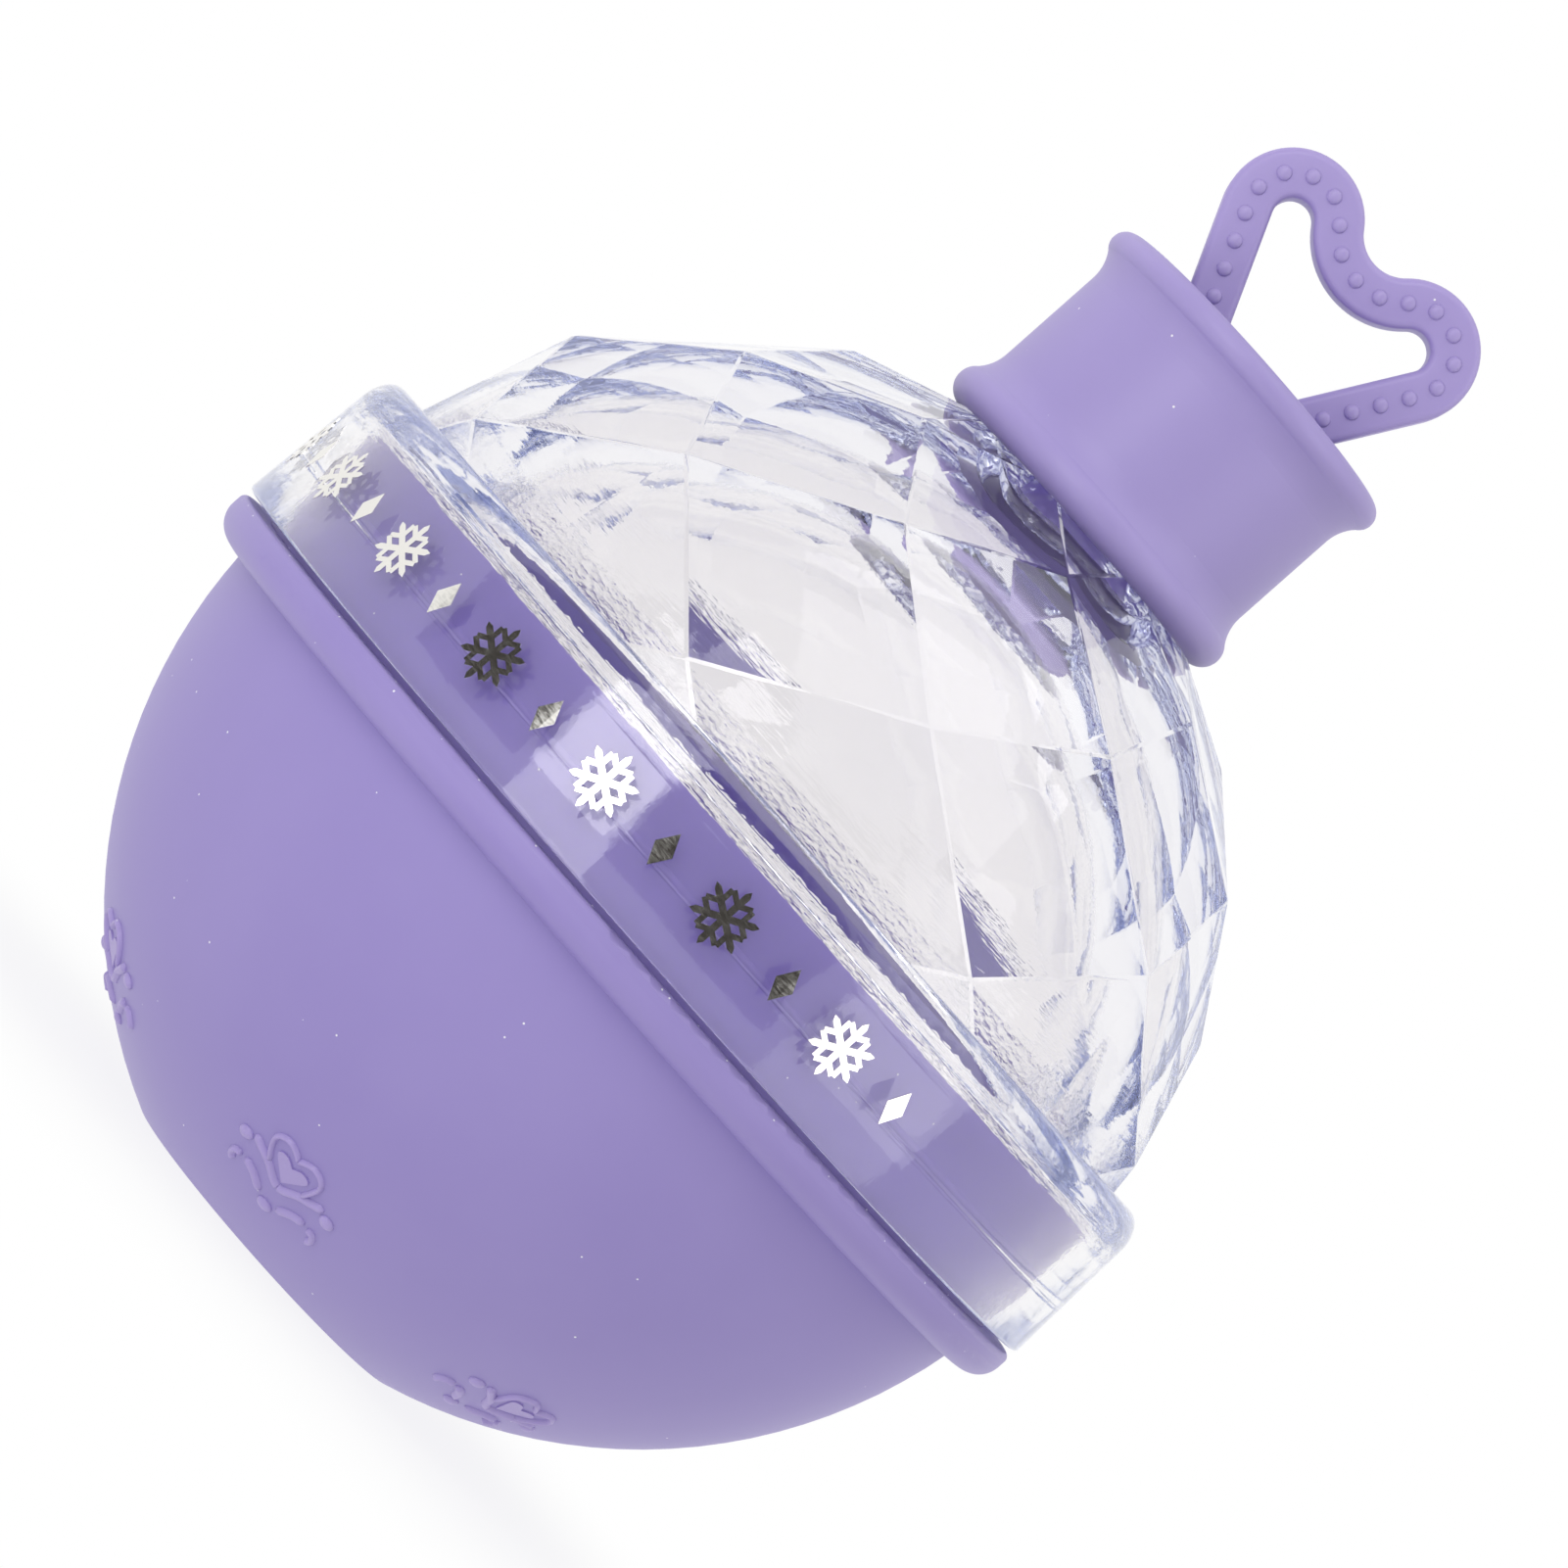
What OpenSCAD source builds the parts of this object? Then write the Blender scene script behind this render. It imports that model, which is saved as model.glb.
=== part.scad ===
// Bauble-shaped ice ball mould: a silicone cup, a clear diamond-cut cover that slides over the cup's
// collar, and a silicone stopper with a heart-shaped pull loop. Millimetres, +Z up, foot at Z = 0.

/* [Ball] */
// Diameter of the ice ball
ball_d = 60; // [50:1:70]
// Height of the seam between cup and cover above the middle of the ball
seam_rise = 5.75; // [4:0.25:9]

/* [Cup] */
// Silicone round the ball, at the bowl
cup_wall = 3.8; // [3:0.1:6]
// Silicone under the ball
floor_t = 4.2; // [3:0.1:8]
// Radius of the flat foot
foot_r = 11.8; // [9:0.1:16]
// Silicone round the ball, at the collar
collar_wall = 3.75; // [2.5:0.05:5]
// Height of the collar above the flange
collar_h = 8.7; // [7:0.05:12]
// Gap between the top of the collar and the shoulder of the cover
seat_gap = 0.75; // [0.3:0.05:0.9]
// Thickness of the flange
flange_t = 2.75; // [2:0.05:4]
// How far the flange stands out past the band
flange_over = 0; // [0:0.05:1]
// Rounding of the flange's lower edge
flange_round = 1.8; // [0.5:0.1:2.4]
// Rounding of the flange's upper edge
flange_crest = 0.45; // [0.1:0.05:0.8]
// Height of the sealing rib above the flange
rib_rise = 4.4; // [2:0.1:6]
// Rounding of the sealing rib
rib_r = 0.35; // [0.2:0.05:0.6]
// How far the sealing rib stands out of the collar
rib_proud = 0.1; // [0.05:0.01:0.15]

/* [Cover] */
// Clearance between the collar and the band
band_fit = 0.2; // [0.18:0.01:0.4]
// Clear wall at the foot of the band
band_wall = 2.35; // [1.5:0.05:4]
// Radius that the band loses from its foot to its shoulder, for draft
band_draft = 0.35; // [0:0.05:0.8]
// Open groove between the flange and the band
groove = 0.45; // [0.2:0.05:1]
// Thickness of the flat shoulder
shoulder_t = 2.3; // [1.5:0.1:4]
// Rounding of the shoulder's outer edge
shoulder_round = 1.2; // [0.3:0.1:1.4]
// Distance of the facet corners from the ball
gem_wall = 4.6; // [3.6:0.1:6]
// Height of the facet sphere's middle above the middle of the ball
gem_rise = 1.1; // [0:0.1:3]
// Facets round the dome
gem_sides = 8; // [6:1:12]
// Latitude of the lowest row of facet corners that shows
gem_low_lat = 15.1; // [12:0.1:16]
// Latitude from one row of facet corners to the next
gem_lat_step = 14.7; // [14:0.1:16]
// Turn of the facets about the upright axis
gem_turn = 6; // [0:1:45]

/* [Neck] */
// Outer radius of the filling neck
neck_r = 9; // [7:0.1:11]
// Clear wall of the neck
neck_wall = 2.2; // [1.5:0.1:3]
// Height of the neck above the dome
neck_h = 7.3; // [5:0.1:12]

/* [Stopper] */
// Clearance between the neck and the stopper
neck_fit = 0.15; // [0.1:0.05:0.4]
// Gap between the top of the neck and the web of the stopper
neck_gap = 0.3; // [0.1:0.05:0.6]
// Silicone of the stopper's sleeve at its waist
sleeve_wall = 1.95; // [1.5:0.05:4]
// How far the rims flare out past the waist
rim_flare = 1.1; // [0.4:0.1:2]
// Rounding of the lower rim
low_bead_r = 1.4; // [0.8:0.1:1.8]
// Rounding of the upper rim
top_bead_r = 1.0; // [0.6:0.1:1.8]
// Hollow rounding between the waist and the rims
waist_round = 3; // [1.5:0.1:4]
// Thickness of the web that closes the neck
web_t = 2.7; // [1.5:0.1:5]
// Depth of the recess above the web
recess_depth = 5; // [3:0.1:8]
// Silicone round the recess at the waist
recess_wall = 1.5; // [1:0.1:2.5]
// Length of the spigot that closes the bore of the neck
spigot_len = 4.5; // [2:0.1:6]
// Clearance between the spigot and the bore
spigot_fit = 0.2; // [0.1:0.05:0.4]

/* [Pull loop] */
// Width of the loop's strip
loop_w = 3.2; // [2:0.1:4]
// Thickness of the loop's strip
loop_t = 2.8; // [1.8:0.1:3.6]
// Rounding of the strip's edges
loop_edge_r = 0.6; // [0.2:0.1:0.8]
// Half the distance between the middles of the two lobes
lobe_x = 5.5; // [4.5:0.1:7]
// Height of the lobes' middles above the stopper
lobe_rise = 8; // [6:0.1:12]
// Radius of each lobe at the middle of the strip
lobe_r = 2.95; // [2.5:0.05:4]
// Height of the notch above the lobes' middles, at the middle of the strip
notch_rise = 0.4; // [0:0.1:1.5]
// Lean of the legs from upright
leg_lean = 28; // [20:1:35]
// Rounding of the root's corners, at the middle of the strip
root_r = 1.8; // [1.7:0.1:2.5]
// Radius of the round root that the loop bends about
root_bead_r = 1.9; // [1.9:0.05:2.4]
// Gap between the root of the loop and the web of the stopper
root_gap = 0.3; // [0.25:0.05:0.6]

/* [Hidden] */
$fn = 96;

// Past-the-face allowance of cuts and overlaps
cut = 1;
// Depth of the faint crease where two roundings meet
crease = 0.02;

// Ball and cup
ball_r = ball_d / 2;
ball_z = floor_t + ball_r;
bowl_r = ball_r + cup_wall;
bowl_z = sqrt(bowl_r * bowl_r - foot_r * foot_r);
seat_z = ball_z + seam_rise;
collar_top = seat_z - seat_gap;
collar_r = ball_r + collar_wall;
flange_top = collar_top - collar_h;
flange_z = flange_top - flange_t;

// Cover
bore_r = collar_r + band_fit;
band_r = bore_r + band_wall;
band_top_r = band_r - band_draft;
band_z = flange_top + groove;
band_top = seat_z + shoulder_t;
flange_r = band_r + flange_over;
gem_r = ball_r + gem_wall;
gem_z = ball_z + gem_rise;
gem_foot = band_top - shoulder_t / 2;

// Rows of facet corners: one below the shoulder, the visible ones, and one above the crown
gem_rows = 6;
gem_half_step = 180 / gem_sides;

// Stopper and neck
waist_r = neck_r + neck_fit + sleeve_wall;
rim_r = waist_r + rim_flare;
crown_margin = 0.95;
crown_r = rim_r - low_bead_r + crown_margin;
crown_z = gem_z + sqrt(gem_r * gem_r - crown_r * crown_r);
neck_bore_r = neck_r - neck_wall;
neck_top = crown_z + neck_h;
web_z = neck_top + neck_gap;
web_top = web_z + web_t;
stopper_top = web_top + recess_depth;
recess_r = waist_r - recess_wall;

// Pull loop
lobe_z = stopper_top + lobe_rise;
notch_r = (lobe_x * lobe_x + notch_rise * notch_rise - lobe_r * lobe_r) / (2 * (lobe_r - notch_rise));
notch_z = lobe_z + notch_rise + notch_r;
notch_angle = atan((notch_rise + notch_r) / lobe_x);
root_z = web_top + root_gap + root_bead_r;
leg_foot_x = lobe_x + lobe_r * cos(leg_lean) - (lobe_z - lobe_r * sin(leg_lean) - root_z) * tan(leg_lean);
root_x = leg_foot_x - root_r * tan((90 - leg_lean) / 2);

// Colours
silicone = [0.62, 0.57, 0.79];
clear = [0.88, 0.91, 0.95, 0.45];

// A rectangle of the turned profile, from the axis out to radius r
module slab(r, z0, z1) {
    translate([0, z0]) square([r, z1 - z0]);
}

// Half of a disc on the axis, for turning into a ball
module half_disc(r, z) {
    intersection() {
        translate([0, z]) circle(r);
        translate([0, z - r]) square([r, 2 * r]);
    }
}

// What a rounding of radius q takes off the outer corner (r, z) of a slab. dir is 1 at a lower corner.
module corner_waste(r, z, q, dir) {
    difference() {
        translate([r - q, min(z - dir * cut, z + dir * q)]) square([q + cut, q + cut]);
        translate([r - q, z + dir * q]) circle(q);
    }
}

// A slab whose outer corners are rounded, the lower one by low_r and the upper one by top_r
module rounded_slab(r, z0, z1, low_r, top_r) {
    difference() {
        slab(r, z0, z1);
        corner_waste(r, z0, low_r, 1);
        corner_waste(r, z1, top_r, -1);
    }
}

module cup_profile() {
    difference() {
        union() {
            intersection() {
                half_disc(bowl_r, bowl_z);
                slab(bowl_r, 0, flange_z + flange_t / 2);
            }
            rounded_slab(flange_r, flange_z, flange_top, flange_round, flange_crest);
            slab(collar_r, flange_z + flange_t / 2, collar_top);
            translate([collar_r + rib_proud - rib_r, flange_top + rib_rise]) circle(rib_r);
        }
        half_disc(ball_r, ball_z);
    }
}

module base_cup() {
    color(silicone) rotate_extrude() cup_profile();
}

// Corner k of row i of the dome's diamond lattice: every second row is turned by half a facet
function gem_lat(i) = gem_low_lat + (i - 1) * gem_lat_step;
function gem_corner(i, k) =
    let (lat = gem_lat(i), lon = gem_turn - 90 + (2 * k + i % 2) * gem_half_step)
    [gem_r * cos(lat) * cos(lon), gem_r * cos(lat) * sin(lon), gem_z + gem_r * sin(lat)];
function gem_index(i, k) = i * gem_sides + (k + gem_sides) % gem_sides;

// Corner of the row above, to the right of corner k of row i
function right_of(i, k) = gem_index(i + 1, k + i % 2);
function left_of(i, k) = gem_index(i + 1, k + i % 2 - 1);

module gem_body() {
    corners = [for (i = [0 : gem_rows - 1]) for (k = [0 : gem_sides - 1]) gem_corner(i, k)];
    floor_centre = gem_rows * gem_sides;
    crown_centre = floor_centre + 1;
    centres = [[0, 0, gem_corner(0, 0)[2]], [0, 0, gem_corner(gem_rows - 1, 0)[2]]];
    last = gem_rows - 1;
    right_halves = [for (i = [0 : last - 2]) for (k = [0 : gem_sides - 1])
        [gem_index(i, k), gem_index(i + 2, k), right_of(i, k)]];
    left_halves = [for (i = [0 : last - 2]) for (k = [0 : gem_sides - 1])
        [gem_index(i, k), left_of(i, k), gem_index(i + 2, k)]];
    low_row = [for (k = [0 : gem_sides - 1]) [gem_index(0, k), right_of(0, k), gem_index(0, k + 1)]];
    top_row = [for (k = [0 : gem_sides - 1])
        [gem_index(last - 1, k), left_of(last - 1, k), right_of(last - 1, k)]];
    floor_fan = [for (k = [0 : gem_sides - 1]) [floor_centre, gem_index(0, k), gem_index(0, k + 1)]];
    crown_fan = [for (k = [0 : gem_sides - 1]) [crown_centre, gem_index(last, k + 1), gem_index(last, k)]];
    facets = concat(right_halves, left_halves, low_row, top_row, floor_fan, crown_fan);
    polyhedron(concat(corners, centres), facets);
}

module band_profile() {
    difference() {
        union() {
            polygon([
                [0, band_z],
                [band_r, band_z],
                [band_top_r, band_top - shoulder_round],
                [0, band_top - shoulder_round]
            ]);
            slab(band_top_r - shoulder_round, seat_z, band_top);
            translate([band_top_r - shoulder_round, band_top - shoulder_round]) circle(shoulder_round);
        }
        slab(bore_r, band_z - cut, seat_z);
    }
}

module clear_cover() {
    color(clear) difference() {
        union() {
            rotate_extrude() band_profile();
            intersection() {
                gem_body();
                translate([0, 0, gem_foot]) cylinder(r = gem_r + cut, h = crown_z - gem_foot);
            }
            translate([0, 0, crown_z - cut]) cylinder(r = neck_r, h = neck_h + cut);
        }
        translate([0, 0, ball_z]) sphere(ball_r);
        translate([0, 0, ball_z]) cylinder(r = neck_bore_r, h = neck_top - ball_z + cut);
    }
}

// Rim of the spool: a round bead, and a hollow rounding from it to the waist. dir is 1 for the lower rim.
module spool_rim(z, bead_r, dir) {
    bead = [rim_r - bead_r, z + dir * bead_r];
    reach = waist_r + waist_round - bead[0];
    rise = sqrt(pow(bead_r + waist_round - crease, 2) - reach * reach);
    hollow = [waist_r + waist_round, bead[1] + dir * rise];
    inner = bead[1] + dir * bead_r / 2;
    joint = [[0, bead[1]], bead, hollow, [0, hollow[1]]];
    translate(bead) circle(bead_r);
    slab(bead[0], min(z, inner), max(z, inner));
    difference() {
        polygon([for (i = [0 : 3]) joint[dir > 0 ? i : 3 - i]]);
        translate(hollow) circle(waist_round);
    }
}

module stopper_profile() {
    union() {
        difference() {
            union() {
                spool_rim(crown_z, low_bead_r, 1);
                spool_rim(stopper_top, top_bead_r, -1);
                slab(waist_r, crown_z + low_bead_r / 2, stopper_top - top_bead_r / 2);
            }
            slab(neck_r + neck_fit, crown_z - cut, web_z);
            slab(recess_r, web_top, stopper_top + cut);
        }
        slab(neck_bore_r - spigot_fit, web_z - spigot_len, web_z + web_t / 2);
    }
}

module stopper() {
    color(silicone) rotate_extrude() stopper_profile();
}

// The middle line of the strip is a closed row of stations in the plane of the heart. A station is
// [x, z, angle], where the angle points out of the heart across the strip.
function arc_stations(centre, r, angles, out) =
    [for (a = angles) [centre[0] + r * cos(a), centre[1] + r * sin(a), a + out]];
function steps(a, b, n) = [for (i = [0 : n]) a + (b - a) * i / n];

root_stations = arc_stations([root_x, root_z + root_r], root_r, steps(-90, -leg_lean, 4), 0);
lobe_stations = arc_stations([lobe_x, lobe_z], lobe_r, steps(-leg_lean, 180 - notch_angle, 14), 0);
notch_stations = arc_stations([0, notch_z], notch_r, steps(-notch_angle, -90, 5), 180);
right_side = concat(root_stations, lobe_stations, [for (i = [1 : 4]) notch_stations[i]]);
left_side = [for (i = [len(right_side) - 1 : -1 : 0]) let (s = right_side[i]) [-s[0], s[1], 180 - s[2]]];
stations = concat(right_side, [notch_stations[5]], left_side);

// Rounded cross-section of the strip: [across, through] for each of its corner points
flat_w = loop_w / 2 - loop_edge_r;
flat_t = loop_t / 2 - loop_edge_r;
section = [for (q = [0 : 3]) for (a = [0, 45, 90])
    let (sx = q == 0 || q == 3 ? 1 : -1, sy = q < 2 ? 1 : -1, t = q * 90 + a)
    [sx * flat_w + loop_edge_r * cos(t), sy * flat_t + loop_edge_r * sin(t)]];

module pull_loop() {
    rings = len(stations);
    sides = len(section);
    points = [for (s = stations) for (p = section) [s[0] + p[0] * cos(s[2]), p[1], s[1] + p[0] * sin(s[2])]];
    faces = [for (i = [0 : rings - 1]) for (j = [0 : sides - 1])
        let (a = i * sides, b = (i + 1) % rings * sides, k = (j + 1) % sides)
        each [[a + j, b + j, b + k], [a + j, b + k, a + k]]];
    color(silicone) union() {
        polyhedron(points, faces);
        translate([0, 0, root_z]) rotate([0, 90, 0]) cylinder(r = root_bead_r, h = 2 * leg_foot_x, center = true);
    }
}

base_cup();
clear_cover();
stopper();
pull_loop();
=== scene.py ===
# %% [markdown]
# # A bauble-shaped ice ball mold
# The mold makes one round ice ball. A soft lilac cup holds the lower half of the ball, a clear diamond-cut
# cover slides over the cup's collar and shapes the upper half, and a soft stopper with a heart-shaped pull
# loop closes the neck that the water is poured through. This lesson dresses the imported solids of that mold:
# it gives each piece the finish of the real one, and it models what is too fine for the solids.

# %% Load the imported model
import math

import bmesh
import bpy
from mathutils import Matrix, Vector


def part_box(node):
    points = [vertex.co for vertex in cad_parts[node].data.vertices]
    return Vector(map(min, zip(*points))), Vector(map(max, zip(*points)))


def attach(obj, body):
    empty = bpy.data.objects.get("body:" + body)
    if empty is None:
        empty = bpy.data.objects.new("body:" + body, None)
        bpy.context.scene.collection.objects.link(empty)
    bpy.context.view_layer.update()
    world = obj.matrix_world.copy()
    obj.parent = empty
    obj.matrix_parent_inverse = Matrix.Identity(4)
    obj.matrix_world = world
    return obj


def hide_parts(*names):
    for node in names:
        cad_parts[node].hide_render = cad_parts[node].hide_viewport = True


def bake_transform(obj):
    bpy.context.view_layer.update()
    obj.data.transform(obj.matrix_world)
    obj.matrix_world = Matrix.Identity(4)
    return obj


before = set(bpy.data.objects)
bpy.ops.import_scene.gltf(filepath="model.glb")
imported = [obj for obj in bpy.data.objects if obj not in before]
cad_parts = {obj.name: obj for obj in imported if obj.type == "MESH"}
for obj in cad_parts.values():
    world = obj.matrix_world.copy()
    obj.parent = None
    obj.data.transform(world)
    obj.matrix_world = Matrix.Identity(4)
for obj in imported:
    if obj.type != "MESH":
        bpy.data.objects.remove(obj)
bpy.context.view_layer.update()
scene = bpy.context.scene
scene.view_settings.view_transform = "Standard"
MM = 0.001
print("pieces in the frame:", sorted(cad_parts))

# %% [markdown]
# ## Camera
# The photograph looks straight at the side of the mold, and the mold leans to the right in the picture. The
# lean could be made by tilting the mold, but a solid of the frame never moves. So the camera is rolled
# about its own line of sight instead, and the upright axis of the mold then climbs to the upper right.

# %% Camera
VIEW_DISTANCE = 500 * MM
VIEW_AIM = Vector((-0.1 * MM, 0, 43.7 * MM))
VIEW_WIDTH = 98.83 * MM
AXIS_CLIMB = math.radians(48.52)

camera_data = bpy.data.cameras.new("camera")
camera_data.lens = camera_data.sensor_width * VIEW_DISTANCE / VIEW_WIDTH
camera = bpy.data.objects.new("camera", camera_data)
scene.collection.objects.link(camera)
scene.camera = camera
right = Vector((math.cos(AXIS_CLIMB), 0, math.sin(AXIS_CLIMB)))
up = Vector((-math.sin(AXIS_CLIMB), 0, math.cos(AXIS_CLIMB)))
back = Vector((0, -1, 0))
camera.matrix_world = Matrix((right, up, back)).transposed().to_4x4()
camera.location = VIEW_AIM + back * VIEW_DISTANCE
print(f"lens {camera_data.lens:.1f} mm")

# %% [markdown]
# ## How often light may bounce
# Light that enters the clear dome is thrown from facet to facet before it finds a way out. A path that is
# cut off early counts as black, so with few bounces the outer facets turn to black patches. On the real
# cover they are bright, so a path may bounce more often here.

# %% Bounces inside the clear cover
scene.cycles.max_bounces = 96
scene.cycles.glossy_bounces = 64
scene.cycles.transmission_bounces = 64
print("a path may bounce", scene.cycles.max_bounces, "times")

# %% [markdown]
# ## Small helpers
# Colours are written as the hex values that a paint program shows, and the shader wants linear light, so
# one function converts them. A second one adds a node, sets its properties, and fills or links its inputs,
# so that a material or a tree of geometry nodes reads as a short list of what it is made of.


# %% Helpers for colours and nodes
def linear(hex_colour, alpha=1.0):
    shares = [int(hex_colour[i : i + 2], 16) / 255 for i in (1, 3, 5)]
    return [s / 12.92 if s <= 0.04045 else ((s + 0.055) / 1.055) ** 2.4 for s in shares] + [alpha]


def add(tree, kind, inputs=None, **settings):
    node = tree.nodes.new(kind)
    for name, value in settings.items():
        setattr(node, name, value)
    for key, value in (inputs or {}).items():
        if isinstance(value, bpy.types.NodeSocket):
            tree.links.new(value, node.inputs[key])
        else:
            node.inputs[key].default_value = value
    return node


def new_material(name):
    material = bpy.data.materials.new(name)
    material.use_nodes = True
    material.node_tree.nodes.clear()
    return material, material.node_tree


def between(tree, value, low, high, soft):
    """A mask that is 1 from low to high and falls to 0 within soft on both sides."""
    rise, fall = [
        add(
            tree,
            "ShaderNodeMapRange",
            {"Value": value, "From Min": start, "From Max": end},
            interpolation_type="SMOOTHSTEP",
        ).outputs["Result"]
        for start, end in ((low - soft, low), (high + soft, high))
    ]
    return add(tree, "ShaderNodeMath", {0: rise, 1: fall}, operation="MULTIPLY").outputs[0]


print(f"a mid grey is {linear('#808080')[0]:.3f} in linear light")

# %% [markdown]
# ## Sizes
# The big sizes come from the frame, so a scene made around a changed pack follows it. The rest are the
# walls and roundings that a box can't tell. A plain size is in millimetres, and one multiplied by MM is in
# metres, which Blender counts in.

# %% Sizes in millimetres, from the frame where it tells them
cup_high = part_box("base_cup")[1] / MM
cover_low, cover_high = [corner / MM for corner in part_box("clear_cover")]
stopper_low, stopper_high = [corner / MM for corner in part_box("stopper")]
loop_low, loop_high = [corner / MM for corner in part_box("pull_loop")]
BALL_R = 30.0
BALL_Z = 34.2
BOWL_R = 33.8
BOWL_Z = 31.67
SEAT_GAP = 0.75
SEAT_Z = cup_high.z + SEAT_GAP
BAND_R = cover_high.x
BAND_Z = cover_low.z
BAND_DRAFT = 0.35
BAND_WALL = 2.35
BORE_R = BAND_R - BAND_WALL
SHOULDER_WALL = 2.3
SHOULDER_Z = SEAT_Z + SHOULDER_WALL
SHOULDER_IN = 1.5
SHOULDER_DOWN = 2.3
GROOVE = 0.45
FLANGE_TOP = BAND_Z - GROOVE
CROWN_Z = stopper_low.z
NECK_TOP = cover_high.z
NECK_R = 9.0
NECK_BORE_R = 6.8
RECESS = 5.0
WEB_TOP = stopper_high.z - RECESS
print(f"band radius {BAND_R:.2f}, seat at {SEAT_Z:.2f}, crown at {CROWN_Z:.2f}, neck to {NECK_TOP:.2f} mm")

# %% [markdown]
# ## Moulded silicone
# Cup, stopper and loop are platinum-cured silicone, pressed in a blasted steel mould. That gives a satin
# skin with no sharp gloss, and a charge that draws lint, most of all along the crest of the flange where a
# hand rubs. A flat colour would look like paint, so the colour drifts slowly over the piece, the skin has a
# fine grain, and pale lint specks lie on it. The real grain is finer than a pixel, so it is drawn coarser
# here. The stopper and the loop are painted lighter than the cup, the loop the most, a painted highlight
# for the extra light and gloss that they catch. The collar, seen only through the clear band, is painted
# lighter and fuller than the cup, to make up for light that the band holds back.

# %% Colours and sizes of the silicone
CUP_DEEP = "#9485C6"
CUP_PALE = "#A193CF"
# painted highlight: the stopper and loop colours are the cup's lilac lifted for the light and gloss they
# catch
STOPPER_DEEP_PAINTED_LIGHTER = "#A092CD"
STOPPER_PALE_PAINTED_LIGHTER = "#AD9FD6"
LOOP_DEEP_PAINTED_LIGHTEST = "#A898D3"
LOOP_PALE_PAINTED_LIGHTEST = "#B2A3DA"
# painted light: the collar lilac is brighter and fuller than the cup's, for light the clear band holds back
COLLAR = "#9F90DA"
LINT = "#F4F2F8"
COLLAR_SOFT = 0.2
SATIN = (0.40, 0.48)
DRIFT_SIZE = 14 * MM
GRAIN_SIZE = 0.18 * MM
GRAIN_HEIGHT = 0.02 * MM
LINT_PITCH = 1.8 * MM
LINT_SHARE = 0.45
LINT_RADIUS = 0.075 * MM
CREST_PITCH = 0.65 * MM
CREST_SHARE = 0.6
CREST_DEPTH = 0.35
CREST_SOFT = 0.05


def lint_specks(tree, place, pitch, share):
    """Small round specks, one in each chosen cell of a loose lattice."""
    cells = add(tree, "ShaderNodeTexVoronoi", {"Vector": place, "Scale": 1 / pitch})
    reach = LINT_RADIUS / pitch
    near = add(tree, "ShaderNodeMath", {0: cells.outputs["Distance"], 1: reach}, operation="LESS_THAN")
    tint = add(tree, "ShaderNodeSeparateColor", {"Color": cells.outputs["Color"]})
    chosen = add(tree, "ShaderNodeMath", {0: tint.outputs["Red"], 1: share}, operation="LESS_THAN")
    speck = add(tree, "ShaderNodeMath", {0: near.outputs[0], 1: chosen.outputs[0]}, operation="MULTIPLY")
    return speck.outputs[0]


print("lint specks are", 2 * LINT_RADIUS / MM, "mm across")


# %% The silicone of cup, stopper and loop
def silicone(name, deep, pale):
    material, tree = new_material(name)
    place = add(tree, "ShaderNodeTexCoord").outputs["Object"]
    height = add(tree, "ShaderNodeSeparateXYZ", {"Vector": place}).outputs["Z"]
    drift = add(tree, "ShaderNodeTexNoise", {"Vector": place, "Scale": 1 / DRIFT_SIZE, "Detail": 3.0})
    colour = add(
        tree,
        "ShaderNodeMix",
        {"Factor": drift.outputs["Fac"], "A": linear(deep), "B": linear(pale)},
        data_type="RGBA",
    )
    # the collar of the cup is painted in the lighter collar colour, standing in for light the band holds back
    collar = between(tree, height, (BAND_Z + COLLAR_SOFT) * MM, cup_high.z * MM, COLLAR_SOFT * MM)
    colour_with_collar_painted_lighter = add(
        tree,
        "ShaderNodeMix",
        {"Factor": collar, "A": colour.outputs["Result"], "B": linear(COLLAR)},
        data_type="RGBA",
    )
    crest_low, crest_high = (FLANGE_TOP - CREST_DEPTH) * MM, (FLANGE_TOP + CREST_SOFT) * MM
    crest = between(tree, height, crest_low, crest_high, CREST_SOFT * MM)
    crest_lint = add(
        tree,
        "ShaderNodeMath",
        {0: lint_specks(tree, place, CREST_PITCH, CREST_SHARE), 1: crest},
        operation="MULTIPLY",
    )
    speck = add(
        tree,
        "ShaderNodeMath",
        {0: lint_specks(tree, place, LINT_PITCH, LINT_SHARE), 1: crest_lint.outputs[0]},
        operation="MAXIMUM",
    )
    skin = add(
        tree,
        "ShaderNodeMix",
        {"Factor": speck.outputs[0], "A": colour_with_collar_painted_lighter.outputs["Result"], "B": linear(LINT)},
        data_type="RGBA",
    )
    grain = add(tree, "ShaderNodeTexNoise", {"Vector": place, "Scale": 1 / GRAIN_SIZE, "Detail": 2.0})
    satin = add(
        tree,
        "ShaderNodeMapRange",
        {
            "Value": drift.outputs["Fac"],
            "From Min": 0.3,
            "From Max": 0.7,
            "To Min": SATIN[0],
            "To Max": SATIN[1],
        },
    )
    bump = add(
        tree,
        "ShaderNodeBump",
        {"Height": grain.outputs["Fac"], "Strength": 0.12, "Distance": GRAIN_HEIGHT},
    )
    shader = add(
        tree,
        "ShaderNodeBsdfPrincipled",
        {
            "Base Color": skin.outputs["Result"],
            "Roughness": satin.outputs["Result"],
            "Normal": bump.outputs["Normal"],
            "IOR": 1.47,
            "Subsurface Weight": 0.1,
            "Subsurface Radius": (1.0, 0.8, 1.2),
            "Subsurface Scale": 1.0 * MM,
        },
    )
    add(tree, "ShaderNodeOutputMaterial", {"Surface": shader.outputs[0]})
    print("made", name)
    return material


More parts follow.
